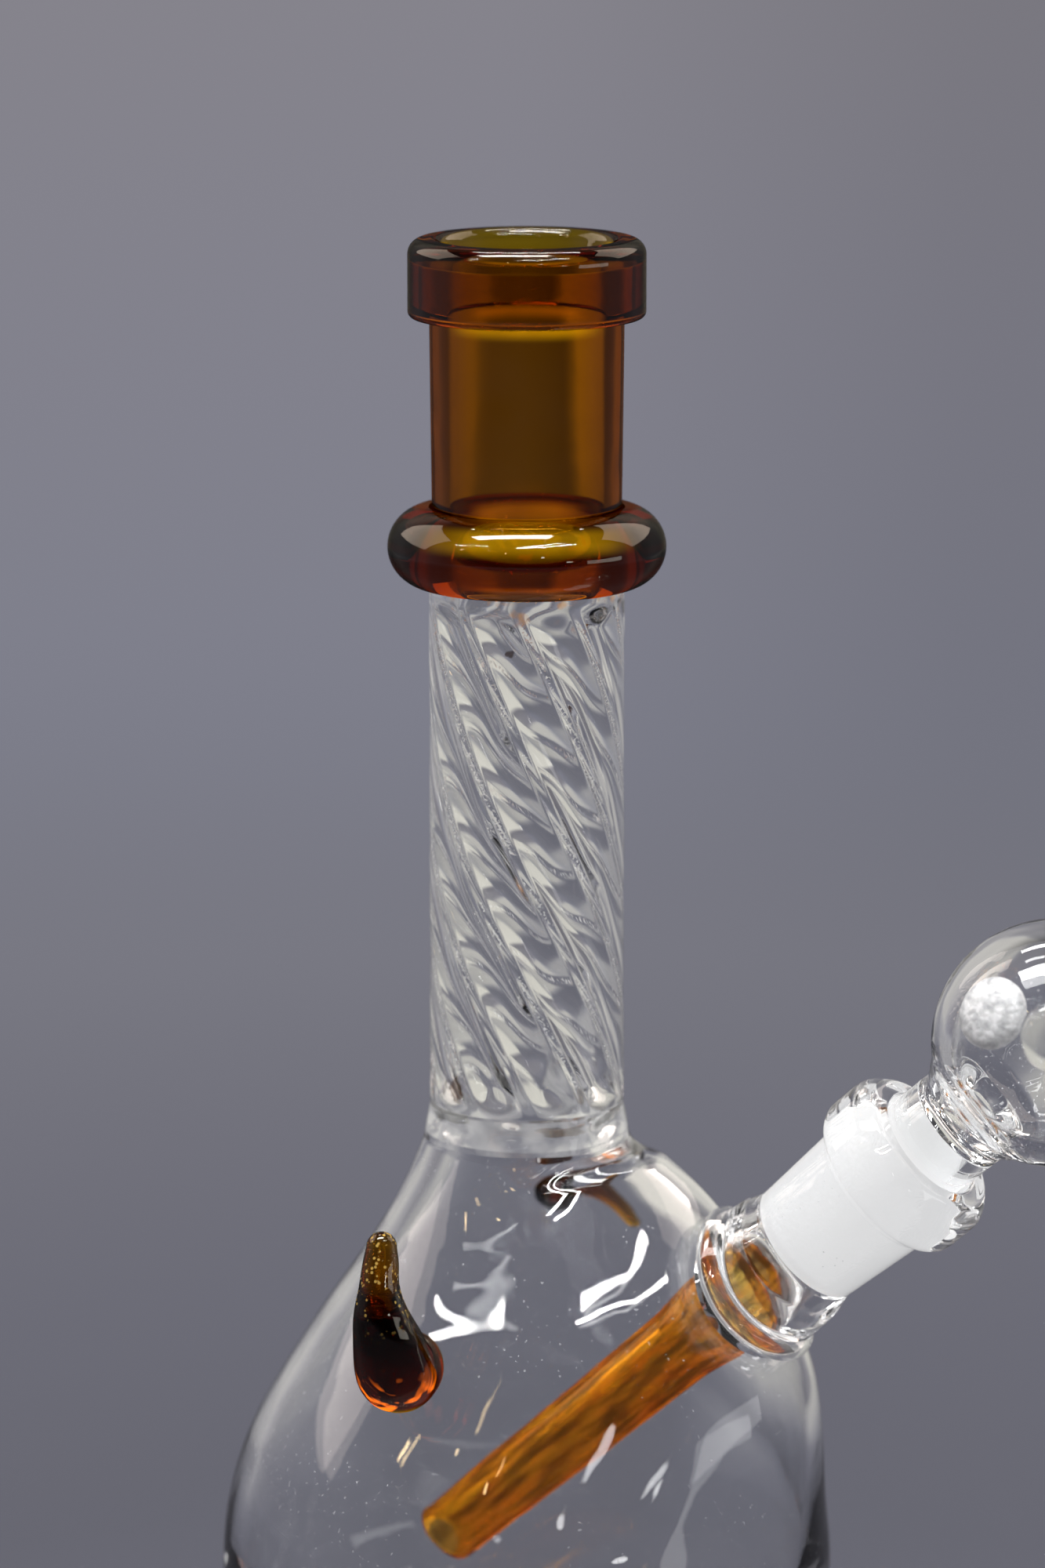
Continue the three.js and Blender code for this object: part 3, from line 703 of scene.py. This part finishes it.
def build_neck():
    """A straight tube fluted inside: nine rounded ridges with sharp grooves between them, twisted."""
    heights = np.linspace(NECK_BOTTOM + SEAM, NECK_TOP - SEAM, 240)
    angles = np.linspace(0, 2 * math.pi, 432, endpoint=False)
    z = heights[:, None] + 0 * angles
    along = (z - NECK_BOTTOM) / (NECK_TOP - NECK_BOTTOM)
    turn = -math.pi / 2 - TWIST_RATE * (z - TWIST_FROM) + 0.03 * np.sin(7 * along + 1)
    share = np.mod(RIB_COUNT * (angles - turn) / (2 * math.pi) + 0.5, 1) - 0.5
    away = 2 * np.abs(share)
    rise = np.clip((away - GROOVE_SHARE) / (1 - GROOVE_SHARE), 0, 1)
    floor_bead = np.clip(1 - (away / GROOVE_SHARE) ** 2, 0, 1)
    ridge = 1 - (1 - rise) ** 2 + 0.16 * floor_bead
    ends = np.minimum((z - NECK_BOTTOM) / RIB_RUN_IN, (NECK_TOP - z - PLAIN_TOP) / RIB_RUN_OUT)
    fade = smoothstep(ends, 0, 1)
    uneven = 1 + 0.10 * np.sin(3 * angles + 2.1 * along + 0.5) + 0.07 * np.sin(5 * angles - 9 * along)
    inner = NECK_BORE - RIB_DEPTH * fade * ridge * uneven
    sunk, wavy = 0.12 * (1 - away) ** 3 * uneven, 0.03 * np.sin(4 * angles + 15 * along)
    outer = NECK_RADIUS - fade * (sunk - wavy)
    grid = np.vstack([
        np.stack([radius * np.cos(angles), radius * np.sin(angles), height], 2)
        for radius, height in ((outer, z), (inner[::-1], z[::-1]))
    ])
    points, faces = mesh_from_grid(grid, wrap=True)
    neck = add_piece(
        "neck_twisted_rib_tube", points, faces, [CLEAR_NECK], PIPE, "neck_tube", sharp=60,
    )
    groove = np.vstack([0 * away, (fade * smoothstep(1 - away, 1 - 1.3 * GROOVE_SHARE, 1))[::-1]]).ravel()
    neck.data.attributes.new("groove", "FLOAT", "POINT").data.foreach_set("value", groove)
    mark_joined(neck, lambda r, z, steep: (steep > 0.9) & ((z < NECK_BOTTOM + 0.1) | (z > NECK_TOP - 0.1)))


build_neck()


def build_ring():
    """A half-round bulge that rolls in to the tube above and the neck below, with a straight bore."""
    middle, half, roll = (RING_BOTTOM + RING_TOP) / 2, (RING_TOP - RING_BOTTOM) / 2, math.pi / 2 - 0.06
    bulge = arc(RING_ROOT, middle, RING_RADIUS - RING_ROOT, half, -roll, roll, 40)
    top = [(radius, RING_TOP) for radius in (12.6, 11.5, 10.35)]
    bottom = [(radius, RING_BOTTOM) for radius in (10.6, 11.8, 13.0)]
    ring = turned(
        "neck_ring_amber", np.vstack([bulge, top, bottom]), [AMBER_RING], "neck_ring",
        sides=144, step=0.5, sharp=50,
    )
    low, high = RING_BOTTOM + 0.05, RING_TOP - 0.05
    mark_joined(ring, lambda r, z, steep: (steep > 0.97) & (r < 12.95) & ((z < low) | (z > high)))


build_ring()


def build_tube():
    outline = np.array([
        (TUBE_FOOT, TUBE_BOTTOM), (TUBE_RADIUS, LIP_BOTTOM), (TUBE_RADIUS, TUBE_TOP),
        (TUBE_RADIUS - TUBE_WALL, TUBE_TOP), (TUBE_FOOT - TUBE_WALL, TUBE_BOTTOM),
    ])
    tube = turned(
        "mouthpiece_tube_amber", outline, [AMBER_TUBE], "mouthpiece_tube", sides=160, step=0.7,
    )
    mark_joined(tube, lambda r, z, steep: (steep > 0.9) | ((r > 12.7) & (z > LIP_BOTTOM + 0.5)))


build_tube()


def build_lip():
    bore, seam_top = TUBE_RADIUS + 0.02, TUBE_TOP + 2 * SEAM
    outline = fillet([
        (bore, LIP_BOTTOM + 0.35, 0), (13.9, LIP_BOTTOM, 0.7), (LIP_RADIUS, LIP_BOTTOM, 2.4),
        (LIP_RADIUS, LIP_TOP, 2.6), (11.5, LIP_TOP + 0.1, 1.5), (10.6, seam_top, 0), (bore, seam_top, 0),
    ], 12)
    collar = turned(
        "lip_collar_amber", outline, [AMBER_THICK], "lip_collar", sides=160, step=0.5,
    )

    def fused(r, z, steep):
        beside_tube = (r < bore + 0.01) & (z < TUBE_TOP + 0.05) & (z > LIP_BOTTOM + 0.4)
        return beside_tube & ((steep > 0.95) | (r > TUBE_RADIUS))

    mark_joined(collar, fused)


build_lip()


# ---- Horns ----
def swept(path, radii, rings=60, sides=48):
    """A round bar of changing radius along a smooth path, with domed ends; rows of points."""
    spine = smooth_line(path, rings)
    along = path_lengths(path)
    girth = smooth_line(np.stack([along / along[-1], radii], 1), 200)
    radius = np.interp(np.linspace(0, 1, rings), girth[:, 0], girth[:, 1])
    tangent = unit(np.gradient(spine, axis=0))
    side = unit(np.cross(tangent[0], [0, 0, 1.0]))
    angles = np.linspace(0, 2 * math.pi, sides, endpoint=False)
    rows = []

    def ring(centre, t, s, r):
        rows.append(centre + r * (np.outer(np.cos(angles), s) + np.outer(np.sin(angles), np.cross(t, s))))

    for turn in np.linspace(math.pi / 2, 0, 8, endpoint=False)[1:]:
        root = spine[0] - tangent[0] * 0.3 * radii[0] * math.sin(turn)
        ring(root, tangent[0], side, radius[0] * math.cos(turn))
    for centre, t, r in zip(spine, tangent, radius):
        side = unit(side - t * (side @ t))
        ring(centre, t, side, r)
    for turn in np.linspace(0, math.pi / 2, 12)[1:-1]:
        ring(centre + t * r * math.sin(turn), t, side, r * math.cos(turn))
    return np.array(rows)


def keep_out(gap):
    """The flask's outer shape, boss and all, as a solid grown by gap."""
    outline = np.vstack([[(0.6, -gap)], offset(OUTER, -gap), [(0.6, FLASK_TOP + gap)]])
    points, faces = mesh_from_grid(revolve(outline, 160), wrap=False)
    return solid("tool", pull_boss(points), faces)


def mark_root(horn):
    """Marks the face where a horn is melted on to the flask."""
    centres, normals = face_vectors(horn, "center") / MM, face_vectors(horn, "normal")
    radius = np.hypot(centres[:, 0], centres[:, 1])
    inward = -(normals[:, 0] * centres[:, 0] + normals[:, 1] * centres[:, 1]) / radius
    mark_faces(horn, (np.abs(radius - flask_radius(centres[:, 2])) < 0.6) & (inward > 0.5))


def build_horn(name, stations, material, node):
    stations = np.array(stations, float)
    points, faces = mesh_from_grid(swept(stations[:, :3], stations[:, 3]), wrap=False)
    horn = add_piece(name, points, faces, [material], PIPE, node)
    cut(horn, keep_out(HORN_GAP))
    mark_root(horn)


build_horn("horn_front_amber", FRONT_HORN, AMBER_HORN, "horn_front")
build_horn("horn_rear_amber", REAR_HORN, AMBER_REAR, "horn_rear")

# ---- Arm ----
turned(
    "arm_weld_ring_clear",
    arc(WELD_RADIUS, WELD_MIDDLE, WELD_THICKNESS, WELD_THICKNESS, 0, 2 * math.pi, 28)[:-1],
    [CLEAR_ARM_SEAL], "arm_weld_ring", sides=120, matrix=ARM_NP,
    shape=lambda points: follow_wall(points, -1, -2), sharp=60,
)
turned(
    "downstem_amber",
    fillet([
        (4.55, STEM_END, 0.8), (5.15, 31, 8), (5.6, 36, 5), (6.9, STEM_RIM - 2.3, 3),
        (8.6, STEM_RIM - 1.1, 0.5), (8.6, STEM_RIM, 0.5), (5.9, STEM_RIM - 0.8, 3), (4.2, 36.5, 4),
        (3.3, 31, 8), (2.7, STEM_END, 0.8),
    ], 8),
    [AMBER_STEM], "downstem", sides=96, step=1.0, matrix=ARM_NP,
    shape=lambda points: follow_wall(points, STEM_RIM - 1.5, 31),
)
socket = turned(
    "joint_socket_ground",
    fillet([
        (8.9, SOCKET_FOOT - 0.3, 0.4), (10.0, SOCKET_FOOT + 0.2, 0.8), (9.7, GROUND_END - 3.2, 2.5),
        (8.72, GROUND_END, 3.0), (9.65, MOUTH - 9.9, 0.8), (12.1, MOUTH - 8.0, 2.6),
        (12.15, MOUTH - 2.2, 3.0), (10.2, MOUTH, 1.6), (7.9, MOUTH, 0.7), (GROUND_RADIUS, MOUTH - 0.8, 0.3),
        (GROUND_SMALL, GROUND_END, 0.3), (6.6, SOCKET_FOOT - 0.3, 0.4),
    ], 8),
    [CLEAR_THICK, GROUND], "joint_socket", step=0.8, matrix=ARM_NP,
    shape=lambda points: follow_wall(points, SOCKET_FOOT + 0.5, GROUND_END - 2.5),
)
frost_faces(socket, lambda r, s: (r < GROUND_RADIUS + 0.35) & (s > GROUND_END - 0.6) & (s < MOUTH - 0.1))


# ---- Lift-out bowl ----
def plug_radius(station):
    return GROUND_RADIUS - 0.12 - GROUND_SLOPE * (MOUTH - 0.8 - station)


plug = turned(
    "bowl_plug_ground",
    fillet([
        (plug_radius(PLUG_START), PLUG_START, 0.5), (plug_radius(PLUG_END), PLUG_END, 0.3),
        (PLUG_SHANK, PLUG_END + 1.0, 1.0), (PLUG_SHANK, PLUG_TOP, 0.2), (PLUG_BORE, PLUG_TOP, 0.2),
        (4.9, PLUG_START, 0.5),
    ], 6),
    [CLEAR_THICK, GROUND], "bowl_plug", body=BOWL, step=0.8, matrix=ARM_NP,
)
frost_faces(plug, lambda r, s: (r > 5.9) & (s < PLUG_END - 0.2) & (s > PLUG_START - 0.1))


def build_ball():
    """A thick ball with an open, rounded mouth, and a drain through its foot."""
    mouth_angle = math.acos(BALL_MOUTH / BALL_RADIUS)
    inner, half_wall = BALL_RADIUS - BALL_WALL, BALL_WALL / 2
    foot = [(PLUG_SHANK, PLUG_TOP + 0.05), (7.35, 84.0), (7.75, 85.1), (8.7, 86.25)]
    outer = arc(0, BALL_STATION, BALL_RADIUS, BALL_RADIUS, math.radians(-54), mouth_angle - 0.03, 44)
    lip, middle = half_wall * 1.12, BALL_RADIUS - half_wall
    lip_x, lip_y = middle * math.cos(mouth_angle), BALL_STATION + middle * math.sin(mouth_angle) + 0.5
    rim = arc(lip_x, lip_y, lip, lip, mouth_angle, mouth_angle + math.pi * 0.95, 12)
    hollow = arc(0, BALL_STATION, inner, inner, mouth_angle - 0.1, math.radians(-76), 40)
    hollow_end = BALL_STATION - inner
    drain = [(2.4, hollow_end - 0.9), (2.3, hollow_end - 2.0), (4.6, 83.6), (PLUG_BORE, PLUG_TOP + 0.05)]
    turned(
        "bowl_ball_clear", np.vstack([foot, outer, rim, hollow, drain]), [CLEAR_BALL], "bowl_ball",
        body=BOWL, step=0.9, matrix=ARM_NP, sharp=50,
    )


build_ball()


def build_dot(name, around, from_mouth, radius, rise, material, node):
    """A flat dome of glass on the ball, placed by two angles in degrees about the arm's axis."""
    sphere = BALL_RADIUS + 0.04
    under_radius = np.linspace(0.08, radius - 0.25, 12)
    under = np.stack([under_radius, np.sqrt(sphere**2 - under_radius**2) - sphere + 0.04], 1)
    edge = under[-1] + np.array([0.2, -0.02])
    top = arc(0, 0.05, radius, rise, 0.0, math.pi / 2 - 0.02, 16)
    points, faces = mesh_from_grid(revolve(np.vstack([under, [edge], top]), 64), wrap=False)
    points[:, 2] += BALL_RADIUS
    a, p = math.radians(around), math.radians(from_mouth)
    direction = Vector((math.sin(p) * math.cos(a), math.sin(p) * math.sin(a), math.cos(p)))
    turn = np.array(direction.to_track_quat("Z", "Y").to_matrix().to_4x4())
    points = transform(transform(points, turn) + np.array([0, 0, BALL_STATION]), ARM_NP)
    add_piece(name, points, faces, [material], BOWL, node, sharp=50)


build_dot("bowl_dot_1_crackled", -116.8, 83.9, 4.75, 1.9, CRACKLED, "bowl_dot_1")
build_dot("bowl_dot_2_clear", -89.1, 65.2, 4.6, 2.0, CLEAR_THICK, "bowl_dot_2")
build_dot("bowl_dot_3_clear", -53.8, 52.9, 4.6, 2.0, CLEAR_THICK, "bowl_dot_3")

# ---- Lamps, in metres ----
FLASK_FRONT = Vector((0, -0.025, 0.067))
WHITE, TAN, PEACH = (1, 1, 1), (1.0, 0.74, 0.40), (1.0, 0.88, 0.80)
STRIP_DISTANCE, PANEL_DISTANCE = 1.6, 1.5


def from_flask(azimuth, elevation, distance):
    """A place seen from the flask's front; azimuth is from the camera's side, positive to the right."""
    a, e = math.radians(azimuth), math.radians(elevation)
    direction = Vector((math.sin(a) * math.cos(e), -math.cos(a) * math.cos(e), math.sin(e)))
    return direction * distance + FLASK_FRONT


def lamp(name, middle, along, width, radiance, colour=WHITE, shape="RECTANGLE"):
    """A lamp of even radiance, centred on middle, its long side along a vector, facing the flask."""
    inward = (FLASK_FRONT - middle).normalized()
    x = along.normalized()
    z = -(inward - x * inward.dot(x)).normalized()
    y = z.cross(x)
    data = bpy.data.lights.new(name, "AREA")
    data.shape = shape
    data.size, data.size_y = along.length, width
    data.energy = radiance * math.pi * along.length * width
    data.color = colour
    obj = bpy.data.objects.new(name, data)
    bpy.context.scene.collection.objects.link(obj)
    obj.matrix_world = Matrix.Translation(middle) @ Matrix((x, y, z)).transposed().to_4x4()
    obj.visible_camera = False


def strip(name, start, end, width, radiance, colour):
    """A long thin lamp between two directions, given as (azimuth, elevation) from the flask's front."""
    a, b = from_flask(*start, STRIP_DISTANCE), from_flask(*end, STRIP_DISTANCE)
    lamp(name, (a + b) / 2, b - a, width, radiance, colour)


def panel(name, azimuth, elevation, length, height, radiance, colour=WHITE, shape="RECTANGLE"):
    """A lamp whose long side is level, centred in one direction from the flask's front."""
    a = math.radians(azimuth)
    level = Vector((math.cos(a), math.sin(a), 0))
    middle = from_flask(azimuth, elevation, PANEL_DISTANCE)
    lamp(name, middle, level * length, height, radiance, colour, shape)


STRIPS = [  # name, the two ends' directions, width, radiance, colour
    ("strip_left", (-76, 40.5), (-41, 50.4), 0.011, 120.0, WHITE),
    ("strip_right_near", (-11, 50.2), (20, 51.5), 0.018, 120.0, WHITE),
    ("strip_right_far", (18, 51.8), (56, 52.3), 0.018, 120.0, WHITE),
    ("warm_left", (-63, 32), (-61, 36), 0.03, 30.0, TAN),
    ("warm_middle", (-20, 32), (-19, 35), 0.02, 30.0, TAN),
    ("warm_upper", (-37, 39.3), (-36, 40.4), 0.02, 30.0, TAN),
    ("strip_right_upper_near", (-10, 52.6), (16, 57.2), 0.018, 120.0, WHITE),
    ("strip_right_upper_far", (16, 57.2), (49, 59.3), 0.018, 120.0, WHITE),
]
for strip_lamp in STRIPS:
    strip(*strip_lamp)
panel("oval_low", 36, 9, 0.16, 0.05, 12.0, shape="ELLIPSE")
panel("oval_small", 14, 24, 0.08, 0.10, 10.0, shape="ELLIPSE")
panel("side_right", 68, 4, 0.9, 0.22, 2.4)
lamp("overhead", Vector((-0.22, -0.14, 1.55)), Vector((1.05, 0, 0)), 0.32, 30.0)
lamp("overhead_back", from_flask(180, 66, PANEL_DISTANCE), Vector((0.9, 0, 0)), 0.10, 26)
panel("soft_left", -118, 34, 1.2, 0.9, 2.1, PEACH)
panel("soft_right", 124, 38, 1.2, 0.9, 2.1, PEACH)

# ---- Room and floor, in metres ----
BACKDROP = [  # height of the view direction (its z), colour seen
    (-0.42, (0.110, 0.110, 0.132)), (-0.30, (0.128, 0.128, 0.155)), (-0.245, (0.172, 0.173, 0.208)),
    (-0.19, (0.208, 0.213, 0.262)), (-0.13, (0.224, 0.222, 0.265)), (-0.08, (0.236, 0.229, 0.262)),
    (0.30, (0.27, 0.265, 0.285)), (0.9, (0.36, 0.36, 0.37)),
]
AROUND = [  # degrees right of straight behind, brightness against the backdrop
    (-180, 0.025), (-150, 0.04), (-120, 0.25), (-95, 0.9), (-85, 0.9), (-65, 0.8), (-40, 0.95), (-32, 1.4),
    (-24, 2.2), (-7.5, 2.3), (-5.5, 1.25), (-4.0, 1.0), (5.2, 1.0), (6.2, 3.0), (24, 2.75), (32, 1.4),
    (40, 0.9), (65, 0.8), (85, 0.9), (95, 0.9), (120, 0.25), (150, 0.04), (180, 0.025),
]
AROUND_TOP = 4.0  # above the brightest of AROUND, as a colour ramp holds only 0 to 1
WALL_COLOUR, CEILING_COLOUR = (0.245, 0.238, 0.218), (0.05, 0.05, 0.052)
FLOOR_COLOUR, FLOOR_LEVEL, FLOOR_SIDES = (0.142, 0.144, 0.182), -0.0004, 96
FLOOR_RINGS = [0.02, 0.06, 0.12, 0.2, 0.3, 0.42, 0.55, 0.7, 0.85, 1.0]


def around_brightness(n, x, y):
    """Brightness against the backdrop, by the direction round the upright axis."""
    turn = n.product(n.math("ARCTAN2", x, y), 1 / (2 * math.pi))
    stops = [(0.5 + angle / 360, [value / AROUND_TOP] * 3) for angle, value in AROUND]
    return n.product(n.colours(n.math("ADD", turn, 0.5), stops), AROUND_TOP)


def build_world():
    """A grey-blue backdrop straight behind, light walls either side of it, and a dim room."""
    n = Nodes(bpy.data.worlds.new("studio"))
    bpy.context.scene.world = n.owner
    x, y, z = n.split(n.add("ShaderNodeTexCoord").outputs["Generated"])
    path = n.add("ShaderNodeLightPath").outputs
    darker_right = n.ramped(n.math("DIVIDE", x, n.math("MAXIMUM", y, 0.05)), 0.0, 0.065, 1.0, 0.82)
    height = n.math("ADD", n.product(z, 0.5), 0.5)
    backdrop = n.scaled(n.colours(height, [(0.5 + level / 2, c) for level, c in BACKDROP]), darker_right)
    # Near the floor's edge the light walls stand further apart and are weaker.
    narrow, weak = n.eased(z, -0.19, -0.12, 0.4, 1.0), n.eased(z, -0.19, -0.12, 0.22, 1.0)
    extra = n.product(n.math("SUBTRACT", around_brightness(n, n.product(x, narrow), y), 1.0), weak)
    around = n.math("MAXIMUM", n.math("ADD", extra, 1.0), n.product(path["Is Transmission Ray"], 0.25))
    walls = n.scaled(n.blend(n.ramped(around, 1.0, 2.5), backdrop, opaque(WALL_COLOUR)), around)
    room = n.blend(n.eased(z, 0.35, 0.75), walls, opaque(CEILING_COLOUR))
    colour = n.blend(path["Is Camera Ray"], room, backdrop)
    n.add("ShaderNodeOutputWorld", {"Surface": n.shader("Background", colour, Strength=1.0)})


build_world()


def floor_material():
    """Pale and glowing, dimmer near the middle, with painted light from the walls to both sides for rays
    other than the camera's, and clear towards its edge.
    """
    n = Nodes(bpy.data.materials.new("floor_matte"))
    place = n.add("ShaderNodeNewGeometry").outputs["Position"]
    reach = n.measure("LENGTH", place)
    x, y, _ = n.split(place)
    path = n.add("ShaderNodeLightPath").outputs
    # Painted light from the bright walls, lighter to both sides away from the middle, for rays that are not
    # the camera's.
    side = n.product(n.math("SUBTRACT", around_brightness(n, n.product(x, 0.45), y), 1.0), 0.6)
    side = n.math("MAXIMUM", side, -0.2)
    painted_wall_light = n.product(n.eased(reach, 0.08, 0.3), n.rest(path["Is Camera Ray"]), side)
    # The floor glows, dimmer near the middle and lighter outwards, plus that painted wall light.
    bright = n.math("ADD", n.ramped(reach, 0.12, 0.5, 0.50, 0.82), painted_wall_light)
    colour = n.blend(n.ramped(bright, 0.6, 2.0), opaque(FLOOR_COLOUR), opaque(WALL_COLOUR))
    # Glass mirrors a dimmer floor than the one that is seen through it.
    mirrored = n.product(path["Is Glossy Ray"], n.rest(path["Is Transmission Ray"]))
    glow = n.emission(colour, n.product(bright, n.rest(n.product(mirrored, 0.7))))
    lit = n.plus(n.shader("BsdfDiffuse", (0.028, 0.028, 0.033)), glow)
    return n.finish(n.mix(n.eased(reach, 0.25, 0.95), lit, n.shader("BsdfTransparent", (1, 1, 1))))


def build_floor():
    """A plain disc of rings."""
    points, faces = [(0, 0, FLOOR_LEVEL)], []
    for i, radius in enumerate(FLOOR_RINGS):
        ring, inner = 1 + i * FLOOR_SIDES, 1 + (i - 1) * FLOOR_SIDES
        for k in range(FLOOR_SIDES):
            turn, m = 2 * math.pi * k / FLOOR_SIDES, (k + 1) % FLOOR_SIDES
            points.append((radius * math.cos(turn), radius * math.sin(turn), FLOOR_LEVEL))
            faces.append((0, ring + k, ring + m) if i == 0 else (inner + k, ring + k, ring + m, inner + m))
    mesh = bpy.data.meshes.new("floor")
    mesh.from_pydata(points, [], faces)
    mesh.materials.append(floor_material())
    obj = bpy.data.objects.new("floor", mesh)
    bpy.context.scene.collection.objects.link(obj)


build_floor()

# ---- Camera ----
CAMERA_PLACE, FOCUS_PLACE = (-0.000577, -0.92405, 0.31417), (-0.006, -0.022, 0.12)
CAMERA_DOWN, CAMERA_LENS = 11.05, 162  # degrees below level, millimetres
focus = bpy.data.objects.new("focus", None)
focus.location = FOCUS_PLACE
camera_data = bpy.data.cameras.new("camera")
camera_data.sensor_width = 36
camera_data.lens = CAMERA_LENS
camera_data.dof.use_dof = True
camera_data.dof.focus_object = focus
camera_data.dof.aperture_fstop = 11
camera = bpy.data.objects.new("camera", camera_data)
camera.location = CAMERA_PLACE
camera.rotation_euler = (math.radians(90 - CAMERA_DOWN), 0, 0)
for thing in (camera, focus):
    bpy.context.scene.collection.objects.link(thing)
bpy.context.scene.camera = camera

scene = bpy.context.scene
scene.view_settings.view_transform = "Standard"
scene.cycles.max_bounces = 40
scene.cycles.transmission_bounces = 32
scene.cycles.glossy_bounces = 16
scene.cycles.transparent_max_bounces = 32
scene.cycles.diffuse_bounces = 4
scene.cycles.volume_bounces = 0
scene.cycles.caustics_reflective = False
scene.cycles.caustics_refractive = True
scene.cycles.blur_glossy = 0.3
scene.cycles.sample_clamp_indirect = 12.0
scene.cycles.use_denoising = True
